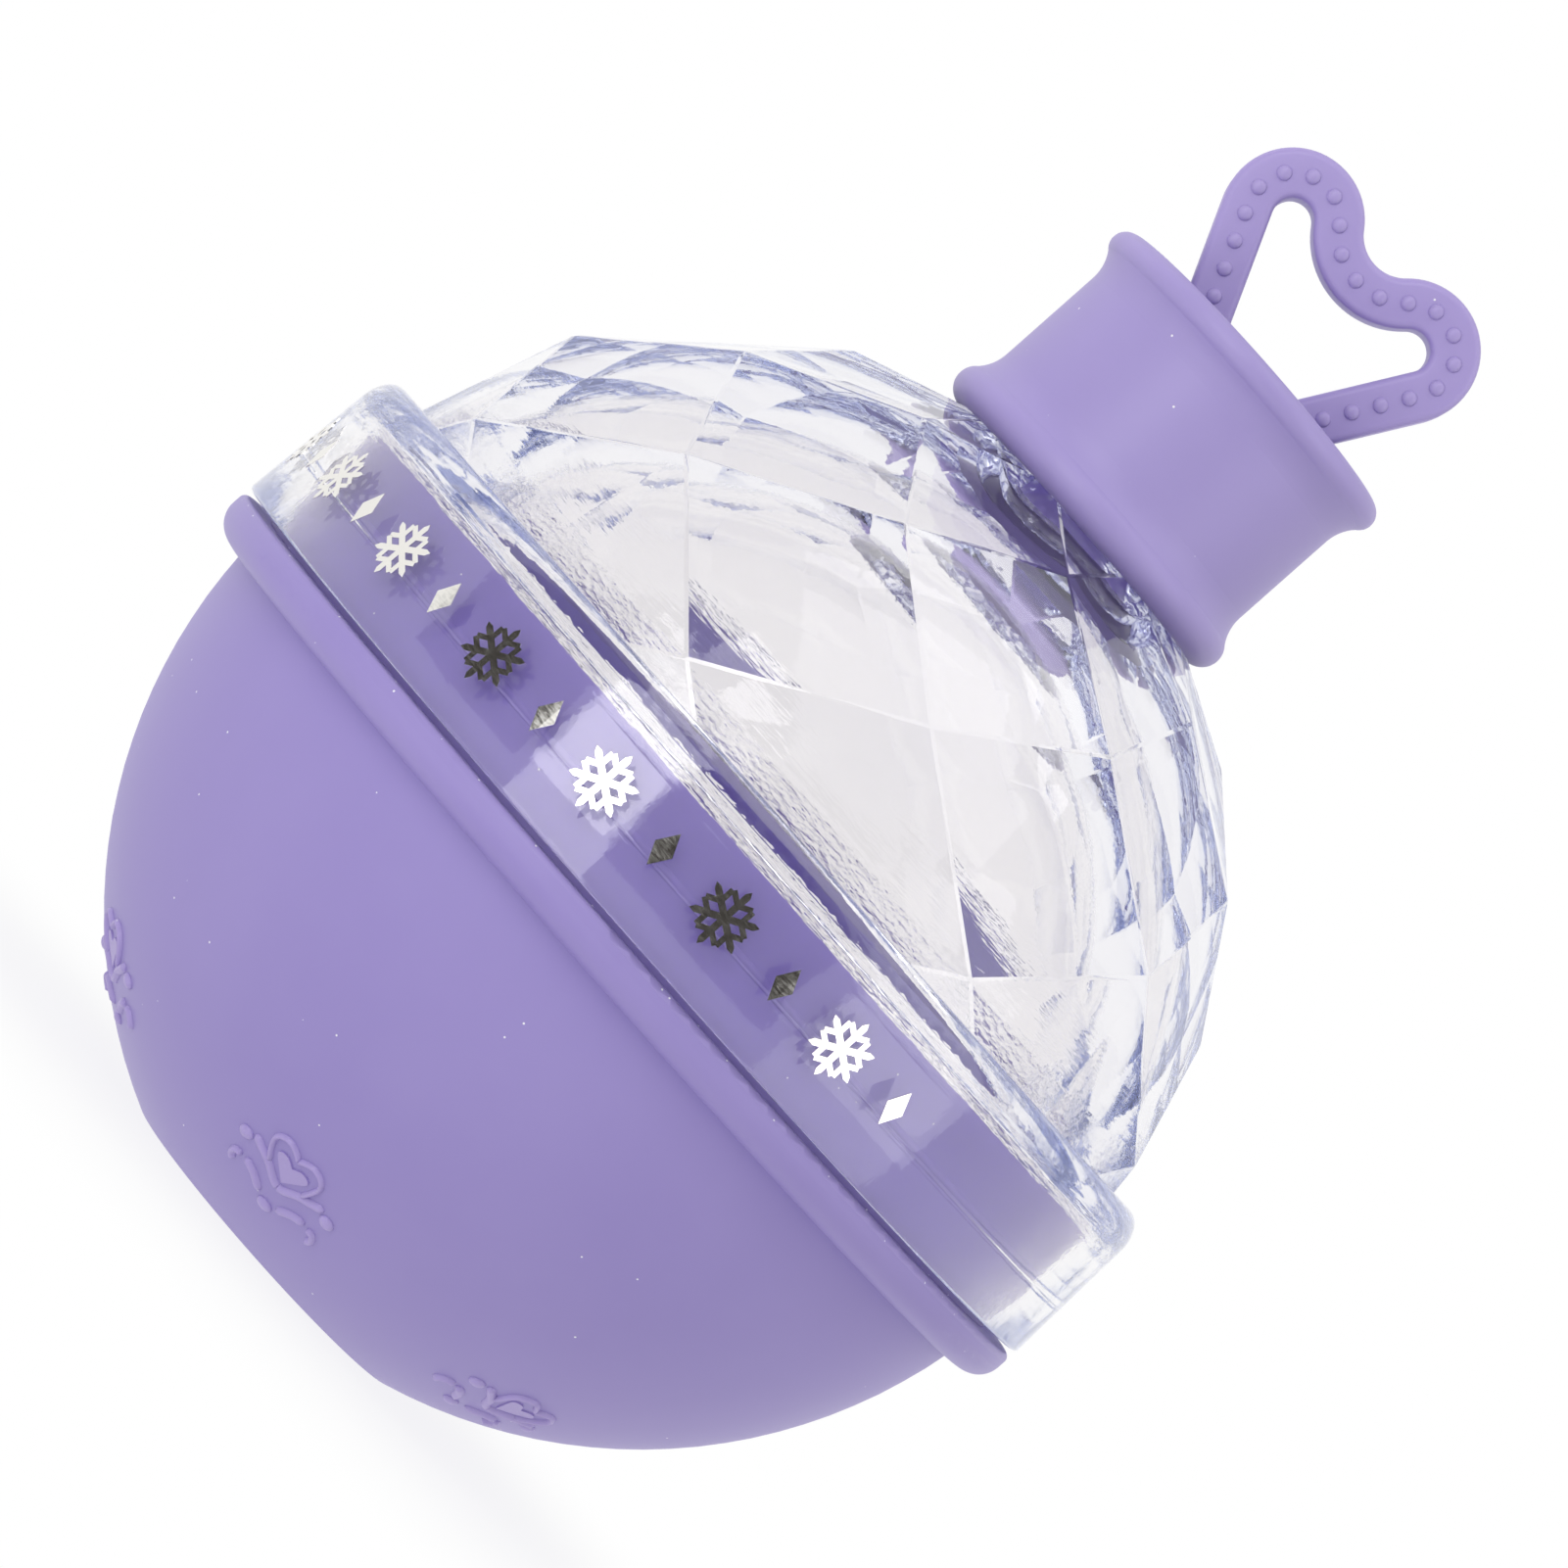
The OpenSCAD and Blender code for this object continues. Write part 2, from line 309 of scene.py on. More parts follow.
# the stopper and the loop get copies of the cup's silicone painted lighter, a painted highlight
cup_silicone = silicone("moulded_silicone", CUP_DEEP, CUP_PALE)
stopper_silicone_painted_lighter = silicone("pale_moulded_silicone", STOPPER_DEEP_PAINTED_LIGHTER, STOPPER_PALE_PAINTED_LIGHTER)
loop_silicone_painted_lightest = silicone("thin_moulded_silicone", LOOP_DEEP_PAINTED_LIGHTEST, LOOP_PALE_PAINTED_LIGHTEST)

# %% [markdown]
# ## Clear polystyrene
# The cover is a crystal-clear moulding with a faint blue cast. Polystyrene bends light strongly (IOR 1.59),
# so every facet shows another part of the surroundings. A glass shader with no surface detail looks like a
# computed crystal. The real moulding carries the fine turning lines of its steel mould, a faint pebble and
# a soft waviness from cooling. Where the hollow was turned last, at the seat and at the foot of the dome,
# the lines are coarse and ragged. Real turning lines are finer than a pixel, so the fine ones are drawn as
# coarse as they need to show.

# %% Surface of the clear plastic
CLEAR = "#FBF9F8"
CLEAR_DEPTH = "#8CA6E4"
CLEAR_DENSITY = 9.0
TURNING_LINES = 0.22 * MM
TURNING_HEIGHT = 0.0012 * MM
RAGGED_LINES = 0.45 * MM
RAGGED_HEIGHT = 0.035 * MM
FOOT_LINES = 0.28 * MM
FOOT_HEIGHT = 0.05 * MM
BOUNDARY_LINES = 0.3 * MM
BOUNDARY_HEIGHT = 0.018 * MM
WAVINESS = 6 * MM
WAVE_HEIGHT = 0.05 * MM
PEBBLE = 0.5 * MM
PEBBLE_HEIGHT = 0.003 * MM
SEAT_ZONE = (SEAT_Z - 1.1, SEAT_Z + 0.4, 0.3)
FOOT_ZONE = (SHOULDER_Z + 0.1, SHOULDER_Z + 1.4, 0.6)
LOW_ZONE = (SHOULDER_Z + 1.0, SHOULDER_Z + 5.0, 1.0)

clear, tree = new_material("clear_polystyrene")
place = add(tree, "ShaderNodeTexCoord").outputs["Object"]
height = add(tree, "ShaderNodeSeparateXYZ", {"Vector": place}).outputs["Z"]
zones = (SEAT_ZONE, FOOT_ZONE, LOW_ZONE)
seat, dome_foot, dome_low = [between(tree, height, *[mm * MM for mm in zone]) for zone in zones]


def relief(scale, squeeze, detail, amount, normal=None, mask=None):
    """A bump from noise of that grain, squeezed along the round so that it makes level lines."""
    squeezed = add(tree, "ShaderNodeMapping", {"Vector": place, "Scale": (squeeze, squeeze, 1.0)})
    grain = {"Vector": squeezed.outputs[0], "Scale": 1 / scale, "Detail": detail}
    level = add(tree, "ShaderNodeTexNoise", grain).outputs["Fac"]
    if mask is not None:
        level = add(tree, "ShaderNodeMath", {0: level, 1: mask}, operation="MULTIPLY").outputs[0]
    inputs = {"Height": level, "Strength": 1.0, "Distance": amount}
    if normal is not None:
        inputs["Normal"] = normal
    return add(tree, "ShaderNodeBump", inputs).outputs["Normal"]


normal = relief(WAVINESS, 1.0, 1.0, WAVE_HEIGHT)
normal = relief(PEBBLE, 1.0, 2.0, PEBBLE_HEIGHT, normal)
normal = relief(TURNING_LINES, 0.05, 2.0, TURNING_HEIGHT, normal)
normal = relief(BOUNDARY_LINES, 0.12, 2.0, BOUNDARY_HEIGHT, normal, dome_low)
normal = relief(FOOT_LINES, 0.4, 3.0, FOOT_HEIGHT, normal, dome_foot)
normal = relief(RAGGED_LINES, 0.12, 3.0, RAGGED_HEIGHT, normal, seat)
print("turning lines every", TURNING_LINES / MM, "mm")

# %% Clear polystyrene
shader = add(
    tree,
    "ShaderNodeBsdfPrincipled",
    {
        "Base Color": linear(CLEAR),
        "Roughness": 0.02,
        "IOR": 1.59,
        "Transmission Weight": 1.0,
        "Normal": normal,
    },
)
depth = add(tree, "ShaderNodeVolumeAbsorption", {"Color": linear(CLEAR_DEPTH), "Density": CLEAR_DENSITY})
add(tree, "ShaderNodeOutputMaterial", {"Surface": shader.outputs[0], "Volume": depth.outputs[0]})
print("made", clear.name)

# %% [markdown]
# ## Hot-stamped foil
# The pattern on the band is aluminium foil, pressed on with a hot die. It is a mirror with the faint lines
# and pin-pricks that the die leaves.

# %% Stamped foil
FOIL = "#EDEBE6"
FOIL_LINES = 0.12 * MM
FOIL_LINE_HEIGHT = 0.01 * MM
FOIL_SHINE = (0.08, 0.2)

foil, tree = new_material("stamped_aluminium_foil")
place = add(tree, "ShaderNodeTexCoord").outputs["Object"]
flatten = add(tree, "ShaderNodeMapping", {"Vector": place, "Scale": (0.2, 0.2, 1.0)})
lines = add(
    tree,
    "ShaderNodeTexNoise",
    {"Vector": flatten.outputs[0], "Scale": 1 / FOIL_LINES, "Detail": 3.0},
)
bump = add(
    tree,
    "ShaderNodeBump",
    {"Height": lines.outputs["Fac"], "Strength": 0.15, "Distance": FOIL_LINE_HEIGHT},
)
shine = add(
    tree,
    "ShaderNodeMapRange",
    {
        "Value": lines.outputs["Fac"],
        "From Min": 0.3,
        "From Max": 0.7,
        "To Min": FOIL_SHINE[0],
        "To Max": FOIL_SHINE[1],
    },
)
shader = add(
    tree,
    "ShaderNodeBsdfPrincipled",
    {
        "Base Color": linear(FOIL),
        "Metallic": 1.0,
        "Roughness": shine.outputs["Result"],
        "Normal": bump.outputs["Normal"],
    },
)
add(tree, "ShaderNodeOutputMaterial", {"Surface": shader.outputs[0]})
print("made", foil.name)

# %% [markdown]
# ## Turning a profile
# Most of the mold is round, so its pieces can be turned from half an outline, as on a lathe. Blender's Spin
# could do it, but a few lines of bmesh share the points on the axis and close the shape without doubles.


# %% Turning and arcs
def arc(centre, radius, start, end, steps):
    angles = [math.radians(start + (end - start) * i / steps) for i in range(steps + 1)]
    return [(centre[0] + radius * math.cos(a), centre[1] + radius * math.sin(a)) for a in angles]


def turned(profile, steps):
    """A closed solid of revolution. The profile runs from the axis to the axis, in millimetres."""
    mesh = bmesh.new()
    rings = []
    for r, z in profile:
        if r < 1e-6:
            rings.append([mesh.verts.new((0, 0, z * MM))] * steps)
            continue
        turns = [2 * math.pi * i / steps for i in range(steps)]
        rings.append([mesh.verts.new((r * MM * math.cos(t), r * MM * math.sin(t), z * MM)) for t in turns])
    for low, high in zip(rings, rings[1:]):
        for i in range(steps):
            corners = [low[i], low[(i + 1) % steps], high[(i + 1) % steps], high[i]]
            face = mesh.faces.new(list(dict.fromkeys(corners)))
            face.smooth = True
    bmesh.ops.recalc_face_normals(mesh, faces=mesh.faces)
    return mesh


def as_object(name, mesh):
    data = bpy.data.meshes.new(name)
    mesh.to_mesh(data)
    mesh.free()
    made = bpy.data.objects.new(name, data)
    scene.collection.objects.link(made)
    return made


print("a quarter round in 4 steps has", len(arc((0, 0), 1, 0, 90, 4)), "points")

# %% [markdown]
# ## The clear cover
# The real cover is one moulding: band, shoulder, diamond-cut dome and neck, with the round hollow of the
# ball inside. Light bends at every wall, so the mesh has to be one closed skin, with no wall left inside.
# Four simple shapes are made and joined by the Boolean modifier. The dome is a lattice of corners on a
# sphere, with every second row turned by half a facet. Each diamond between four corners is a soft pillow:
# its two halves are shaded as one, and only its border is a crease. The borders get a narrow chamfer,
# because no mould has a knife edge. The lowest whole diamonds are a little dished near their lower corner,
# where the thick plastic sinks as it cools, and there the lilac of the cup shows. Every face remembers the
# number of its diamond, so that the creases can be found again after the join.

# %% The diamond lattice of the dome
GEM_R = 34.6
GEM_Z = 35.3
GEM_SIDES = 8
GEM_ROWS = 6
GEM_LOW_LAT = 15.1
GEM_LAT_STEP = 14.7
GEM_TURN = 6.0
EDGE_CHAMFER = 0.14
CHAMFER_ID = -1
DISH_ROW = 1
DISH_AT = 0.18
DISH_DEPTH = 0.31


def diamond_dome():
    mesh = bmesh.new()
    diamond = mesh.faces.layers.int.new("diamond")
    half_step = 180 / GEM_SIDES
    rows = []
    for i in range(GEM_ROWS):
        lat = math.radians(GEM_LOW_LAT + (i - 1) * GEM_LAT_STEP)
        turns = [math.radians(GEM_TURN - 90 + (2 * k + i % 2) * half_step) for k in range(GEM_SIDES)]
        flat, high = GEM_R * math.cos(lat) * MM, (GEM_Z + GEM_R * math.sin(lat)) * MM
        rows.append([mesh.verts.new((flat * math.cos(t), flat * math.sin(t), high)) for t in turns])

    def corner(row, place):
        return rows[row][place % GEM_SIDES]

    def face(number, *corners):
        mesh.faces.new(corners)[diamond] = number

    number = 0
    for i in range(-1, GEM_ROWS - 1):
        for k in range(GEM_SIDES):
            number += 1
            left, right = corner(i + 1, k - 1 + i % 2), corner(i + 1, k + i % 2)
            if i == DISH_ROW:
                low, high = corner(i, k), corner(i + 2, k)
                pit = low.co.lerp(high.co, DISH_AT)
                pit = mesh.verts.new(pit.lerp(Vector((0, 0, GEM_Z * MM)), DISH_DEPTH / GEM_R))
                for a, b in ((low, right), (right, high), (high, left), (left, low)):
                    face(number, a, b, pit)
            elif i >= 0 and i + 2 < GEM_ROWS:
                face(number, corner(i, k), right, corner(i + 2, k))
                face(number, corner(i, k), corner(i + 2, k), left)
            elif i < 0:
                face(number, left, right, corner(i + 2, k))
            else:
                face(number, corner(i, k), right, left)
    face(number + 1, *reversed(rows[0]))
    face(number + 2, *rows[-1])
    bmesh.ops.recalc_face_normals(mesh, faces=mesh.faces)
    creases = [e for e in mesh.edges if len({f[diamond] for f in e.link_faces}) == 2]
    cut = bmesh.ops.bevel(
        mesh, geom=creases, offset=EDGE_CHAMFER * MM, segments=1, affect="EDGES", profile=0.5
    )
    for chamfer in cut["faces"]:
        chamfer[diamond] = CHAMFER_ID
    return mesh


dome = diamond_dome()
print("faces of the whole lattice:", len(dome.faces))

# %% The dome between shoulder and crown
OVERLAP = 1.0


def cut_level(mesh, z, keep_above):
    """Cuts the shape at a level, drops one side and closes the cut."""
    whole = list(mesh.verts) + list(mesh.edges) + list(mesh.faces)
    cut = bmesh.ops.bisect_plane(
        mesh,
        geom=whole,
        plane_co=(0, 0, z * MM),
        plane_no=(0, 0, -1 if keep_above else 1),
        clear_outer=True,
    )
    rim = [e for e in cut["geom_cut"] if isinstance(e, bmesh.types.BMEdge)]
    bmesh.ops.holes_fill(mesh, edges=rim)


cut_level(dome, SHOULDER_Z - OVERLAP, keep_above=True)
cut_level(dome, CROWN_Z, keep_above=False)
bmesh.ops.recalc_face_normals(dome, faces=dome.faces)
print("faces of the dome:", len(dome.faces))
dome = as_object("dome_blank", dome)

# %% Outlines of band, neck and hollow
PARTING_Z = 34.9
PARTING_PROUD = 0.04
PARTING_W = 0.09
EDGE_ROUND = 0.25
NECK_ROUND = 0.4
top_r = BAND_R - BAND_DRAFT
slope = BAND_DRAFT / (SHOULDER_Z - SHOULDER_DOWN - BAND_Z)


def band_radius(z):
    return BAND_R - (z - BAND_Z) * slope


band_outline = (
    [(0, SEAT_Z), (BORE_R - EDGE_ROUND, SEAT_Z)]
    + arc((BORE_R - EDGE_ROUND, SEAT_Z - EDGE_ROUND), EDGE_ROUND, 90, 0, 4)[1:]
    + arc((BORE_R + EDGE_ROUND, BAND_Z + EDGE_ROUND), EDGE_ROUND, 180, 270, 4)
    + arc((BAND_R - EDGE_ROUND, BAND_Z + EDGE_ROUND), EDGE_ROUND, 270, 360, 4)
    + [
        (band_radius(PARTING_Z), PARTING_Z - PARTING_W),
        (band_radius(PARTING_Z) + PARTING_PROUD, PARTING_Z),
        (band_radius(PARTING_Z), PARTING_Z + PARTING_W),
    ]
    + [
        (top_r - SHOULDER_IN * (1 - x), SHOULDER_Z - SHOULDER_DOWN * (1 - z))
        for x, z in arc((0, 0), 1, 0, 90, 14)
    ]
    + [(0, SHOULDER_Z)]
)
neck_outline = (
    [(0, CROWN_Z - OVERLAP), (NECK_R, CROWN_Z - OVERLAP)]
    + arc((NECK_R - NECK_ROUND, NECK_TOP - NECK_ROUND), NECK_ROUND, 0, 90, 5)
    + [(0, NECK_TOP)]
)
mouth = math.degrees(math.acos(NECK_BORE_R / BALL_R))
hollow_top = NECK_TOP + OVERLAP
hollow_outline = arc((0, BALL_Z), BALL_R, -90, mouth, 72) + [(NECK_BORE_R, hollow_top), (0, hollow_top)]
hollow_outline[0] = (0, BALL_Z - BALL_R)
print("points of the band's outline:", len(band_outline))

# %% The joined cover
band = turned(band_outline, 256)
band.faces.layers.int.new("diamond")
blanks = [
    ("UNION", dome),
    ("UNION", as_object("neck_blank", turned(neck_outline, 128))),
    ("DIFFERENCE", as_object("hollow_blank", turned(hollow_outline, 224))),
]
cover = as_object("cover", band)
for operation, blank in blanks:
    boolean = cover.modifiers.new(operation.lower(), "BOOLEAN")
    boolean.operation = operation
    boolean.solver = "EXACT"
    boolean.object = blank
joined = bpy.data.meshes.new_from_object(cover.evaluated_get(bpy.context.evaluated_depsgraph_get()))
cover.modifiers.clear()
cover.data = joined
for _, blank in blanks:
    bpy.data.objects.remove(blank)
print("faces after the join:", len(joined.polygons))

# %% [markdown]
# The join leaves a few specks and slivers where surfaces meet, and they are merged first. A crease lies
# wherever the number of the diamond changes, and where two round surfaces meet at an angle. Everything else
# is shaded smooth.

# %% Creases of the cover
FOLD = math.radians(25)
SPECK = 0.001 * MM
mesh = bmesh.new()
mesh.from_mesh(joined)
bmesh.ops.remove_doubles(mesh, verts=mesh.verts, dist=SPECK)
bmesh.ops.dissolve_degenerate(mesh, edges=mesh.edges, dist=SPECK)
bmesh.ops.triangulate(mesh, faces=[f for f in mesh.faces if len(f.verts) > 4], ngon_method="BEAUTY")
bmesh.ops.dissolve_degenerate(mesh, edges=mesh.edges, dist=SPECK)
diamond = mesh.faces.layers.int["diamond"]
for face in mesh.faces:
    face.smooth = True
for edge in mesh.edges:
    sides = [face[diamond] for face in edge.link_faces]
    if len(set(sides)) > 1:
        edge.smooth = False
    elif sides[0] == 0:
        edge.smooth = edge.calc_face_angle() < FOLD
mesh.to_mesh(joined)
mesh.free()
joined.materials.clear()
joined.materials.append(clear)
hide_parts("clear_cover")
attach(cover, "cover")
print("faces of the cover:", len(joined.polygons))

# %% [markdown]
# ## Silicone for the cup and the stopper
# Both are turned shapes that the solids already give exactly, so they stay and only get their finish.

# %% Finish of the cup and the stopper
for node, finish in (("base_cup", cup_silicone), ("stopper", stopper_silicone_painted_lighter)):
    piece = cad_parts[node]
    piece.data.materials.clear()
    piece.data.materials.append(finish)
    print(node, "has", len(piece.data.polygons), "faces")

# %% [markdown]
# ## Trees that repeat a shape
# Three things on the mold repeat: the dots along the loop, the ornaments round the foot and the foil marks
# round the band. Each is made once, and a tree of geometry nodes sets the copies. A tree has named inputs,
# so the same ring of copies serves the foot and the band. Copies are instances at first, so the tree ends
# by making them real, and the finished piece is then a plain mesh.


# %% A tree with named inputs, and the plain mesh it makes
def new_tree(name, sockets):
    tree = bpy.data.node_groups.new(name, "GeometryNodeTree")
    tree.interface.new_socket(name="Geometry", in_out="INPUT", socket_type="NodeSocketGeometry")
    for socket_name, kind in sockets.items():
        tree.interface.new_socket(name=socket_name, in_out="INPUT", socket_type="NodeSocket" + kind)
    tree.interface.new_socket(name="Geometry", in_out="OUTPUT", socket_type="NodeSocketGeometry")
    return tree, add(tree, "NodeGroupInput").outputs


def finish_tree(tree, geometry, given):
    real = add(tree, "GeometryNodeRealizeInstances", {"Geometry": geometry})
    dressed = add(
        tree, "GeometryNodeSetMaterial", {"Geometry": real.outputs[0], "Material": given["Material"]}
    )
    add(tree, "NodeGroupOutput", {"Geometry": dressed.outputs[0]})


def grow(piece, tree, **values):
    """Runs the tree on a piece with these inputs and leaves a plain mesh."""
    modifier = piece.modifiers.new(tree.name, "NODES")
    modifier.node_group = tree
    sockets = {s.name: s.identifier for s in tree.interface.items_tree if s.in_out == "INPUT"}
    for name, value in values.items():
        modifier[sockets[name]] = value
    bpy.context.view_layer.update()
    plain = bpy.data.meshes.new_from_object(piece.evaluated_get(bpy.context.evaluated_depsgraph_get()))
    piece.modifiers.clear()
    piece.data = plain
    plain.name = piece.name


print("helpers for trees:", new_tree.__name__, finish_tree.__name__, grow.__name__)

# %% The tree that sets a ring of copies
ring_sockets = {"Copy": "Object", "Count": "Int", "First": "Float", "Step": "Float", "Material": "Material"}
ring_of_copies, given = new_tree("ring_of_copies", ring_sockets)
points = add(ring_of_copies, "GeometryNodeMeshLine", {"Count": given["Count"], "Offset": (0, 0, 0)})
index = add(ring_of_copies, "GeometryNodeInputIndex")
turn = add(
    ring_of_copies,
    "ShaderNodeMath",
    {0: index.outputs[0], 1: given["Step"], 2: given["First"]},
    operation="MULTIPLY_ADD",
)
euler = add(ring_of_copies, "ShaderNodeCombineXYZ", {"Z": turn.outputs[0]})
rotation = add(ring_of_copies, "FunctionNodeEulerToRotation", {"Euler": euler.outputs[0]})
copy = add(ring_of_copies, "GeometryNodeObjectInfo", {"Object": given["Copy"]})
copies = add(
    ring_of_copies,
    "GeometryNodeInstanceOnPoints",
    {"Points": points.outputs[0], "Instance": copy.outputs["Geometry"], "Rotation": rotation.outputs[0]},
)
joined_copies = add(ring_of_copies, "GeometryNodeJoinGeometry")
ring_of_copies.links.new(given["Geometry"], joined_copies.inputs[0])
ring_of_copies.links.new(copies.outputs[0], joined_copies.inputs[0])
finish_tree(ring_of_copies, joined_copies.outputs[0], given)
print("made the tree", ring_of_copies.name)

# %% [markdown]
# ## The heart-shaped pull loop
# The loop is a flat strip of silicone, bent to a heart, and its two legs run down into the web inside the
# stopper. It could be a curve with a bevel, but a mesh swept along the heart has a section that is easy to
# round and rows of faces where the legs bend. Raised dots at an even pitch give the fingers a hold on both
# faces. They are counted from the notch, so both halves of the heart carry the same dots.

# %% The strip of the loop
LOBE_X = 5.5
LOBE_R = 2.95
LOOP_W = 3.2
LOOP_T = loop_high.y - loop_low.y
LOBE_Z = loop_high.z - LOBE_R - LOOP_W / 2
NOTCH_RISE = 0.4
LEG_LEAN = 28.0
LEG_SINK = 0.4
LEG_STEP = 0.6
STRIP_ROUND = 0.5

notch_r = (LOBE_X**2 + NOTCH_RISE**2 - LOBE_R**2) / (2 * (LOBE_R - NOTCH_RISE))
notch_angle = math.degrees(math.atan((NOTCH_RISE + notch_r) / LOBE_X))
notch_arc = arc((0, LOBE_Z + NOTCH_RISE + notch_r), notch_r, -90, -notch_angle, 14)
lobe_arc = arc((LOBE_X, LOBE_Z), LOBE_R, 180 - notch_angle, -LEG_LEAN, 36)
leg_top = Vector(lobe_arc[-1])
leg_drop = leg_top.y - (WEB_TOP - LEG_SINK)
leg_foot = leg_top - Vector((math.tan(math.radians(LEG_LEAN)), 1)) * leg_drop
leg_steps = round(leg_drop / LEG_STEP)
leg = [leg_top.lerp(leg_foot, i / leg_steps) for i in range(1, leg_steps + 1)]
right_half = [Vector(p) for p in notch_arc + lobe_arc[1:]] + leg
heart_line = [Vector((-p.x, p.y)) for p in reversed(right_half[1:])] + right_half


def rounded_section(width, thickness, rounding, steps=5):
    """Corners of a rounded rectangle, across the strip and through it."""
    corners = []
    for turn, side_a, side_b in ((0, 1, 1), (90, -1, 1), (180, -1, -1), (270, 1, -1)):
        centre = (side_a * (width / 2 - rounding), side_b * (thickness / 2 - rounding))
        corners += arc(centre, rounding, turn, turn + 90, steps)
    return corners


def swept(line, section):
    """A closed strip along a line in the XZ plane, in millimetres."""
    mesh = bmesh.new()
    rings = []
    for i, p in enumerate(line):
        ahead = (line[min(i + 1, len(line) - 1)] - line[max(i - 1, 0)]).normalized()
        across = Vector((ahead.y, -ahead.x))
        spots = [(p + across * a, b) for a, b in section]
        rings.append([mesh.verts.new((spot.x * MM, b * MM, spot.y * MM)) for spot, b in spots])
    count = len(section)
    for low, high in zip(rings, rings[1:]):
        for i in range(count):
            mesh.faces.new((low[i], low[(i + 1) % count], high[(i + 1) % count], high[i])).smooth = True
    mesh.faces.new(rings[0])
    mesh.faces.new(rings[-1])
    bmesh.ops.recalc_face_normals(mesh, faces=mesh.faces)
    return mesh


loop = as_object("heart_loop", swept(heart_line, rounded_section(LOOP_W, LOOP_T, STRIP_ROUND)))
print("faces of the strip:", len(loop.data.polygons))

# %% The tree that sets dots along a line
dot_sockets = {"Line": "Object", "Dot": "Object", "Count": "Int", "Pitch": "Float", "Side": "Float"}
dot_sockets["Material"] = "Material"
dots_on_line, given = new_tree("dots_on_line", dot_sockets)
line = add(dots_on_line, "GeometryNodeObjectInfo", {"Object": given["Line"]})
curve = add(dots_on_line, "GeometryNodeMeshToCurve", {"Mesh": line.outputs["Geometry"]})
length = add(dots_on_line, "GeometryNodeCurveLength", {"Curve": curve.outputs[0]})
middle = add(dots_on_line, "ShaderNodeMath", {0: length.outputs[0], 1: 0.5}, operation="MULTIPLY")
gaps = add(dots_on_line, "ShaderNodeMath", {0: given["Count"], 1: 1.0}, operation="SUBTRACT")
row = add(dots_on_line, "ShaderNodeMath", {0: gaps.outputs[0], 1: given["Pitch"]}, operation="MULTIPLY")
half_row = add(dots_on_line, "ShaderNodeMath", {0: row.outputs[0], 1: 0.5}, operation="MULTIPLY")
start, end = [
    add(dots_on_line, "ShaderNodeMath", {0: middle.outputs[0], 1: half_row.outputs[0]}, operation=step)
    for step in ("SUBTRACT", "ADD")
]
trimmed = add(
    dots_on_line,
    "GeometryNodeTrimCurve",
    {"Curve": curve.outputs[0], 4: start.outputs[0], 5: end.outputs[0]},
    mode="LENGTH",
)
spots = add(dots_on_line, "GeometryNodeResampleCurve", {"Curve": trimmed.outputs[0], "Count": given["Count"]})
dot_shape = add(dots_on_line, "GeometryNodeObjectInfo", {"Object": given["Dot"]})
dotted = add(dots_on_line, "GeometryNodeJoinGeometry")
dots_on_line.links.new(given["Geometry"], dotted.inputs[0])
for side in (1.0, -1.0):
    out = add(dots_on_line, "ShaderNodeMath", {0: given["Side"], 1: side}, operation="MULTIPLY")
    shift = add(dots_on_line, "ShaderNodeCombineXYZ", {"Y": out.outputs[0]})
    moved = add(
        dots_on_line,
        "GeometryNodeSetPosition",
        {"Geometry": spots.outputs[0], "Offset": shift.outputs[0]},
    )
    placed = add(
        dots_on_line,
        "GeometryNodeInstanceOnPoints",
        {"Points": moved.outputs[0], "Instance": dot_shape.outputs["Geometry"]},
    )
    dots_on_line.links.new(placed.outputs[0], dotted.inputs[0])
finish_tree(dots_on_line, dotted.outputs[0], given)
print("made the tree", dots_on_line.name)

# %% Dots on the loop
DOT_PITCH = 1.86
DOT_COUNT = 21
DOT_R = 0.5
DOT_HEIGHT = 0.3

line_mesh = bmesh.new()
line_points = [line_mesh.verts.new((p.x * MM, 0, p.y * MM)) for p in heart_line]
for a, b in zip(line_points, line_points[1:]):
    line_mesh.edges.new((a, b))
line_guide = as_object("line_guide", line_mesh)
dot_mesh = bmesh.new()
bmesh.ops.create_uvsphere(dot_mesh, u_segments=20, v_segments=12, radius=1.0)
bmesh.ops.scale(dot_mesh, vec=Vector((DOT_R, DOT_HEIGHT, DOT_R)) * MM, verts=dot_mesh.verts)
for face in dot_mesh.faces:
    face.smooth = True
dot_guide = as_object("dot_guide", dot_mesh)
grow(
    loop,
    dots_on_line,
    Line=line_guide,
    Dot=dot_guide,
    Count=DOT_COUNT,
    Pitch=DOT_PITCH * MM,
    Side=LOOP_T / 2 * MM,
    Material=loop_silicone_painted_lightest,
)
bpy.data.objects.remove(line_guide)
bpy.data.objects.remove(dot_guide)
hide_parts("pull_loop")
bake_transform(loop)
print("faces of the loop with its dots:", len(loop.data.polygons))

# %% [markdown]
# ## Ornaments round the foot
# Six small ornaments are sunk into the steel mould, so they stand up from the cup: a heart over a swung
# line, with beads and curls at its ends. A bump map would vanish when seen from the side, so they are
# meshes. Each line is a rounded ridge, drawn flat in millimetres and then laid on the bowl: across is
# measured along the level, and up is measured along the meridian. They take the loop's lighter silicone,
# painted lighter than the bowl to lift the shade along the sides of the ridges.

# %% Ridges and beads laid on the bowl
ORNAMENT_LAT = math.radians(-51.9)
ORNAMENT_TURN = -6.0
ORNAMENTS = 6
RIDGE_HEIGHT = 0.3
RIDGE_SINK = 0.15
RIDGE_SWELL = (0.35, 0.75, 1.0)
HUMP = [math.radians(angle) for angle in range(0, 181, 30)]


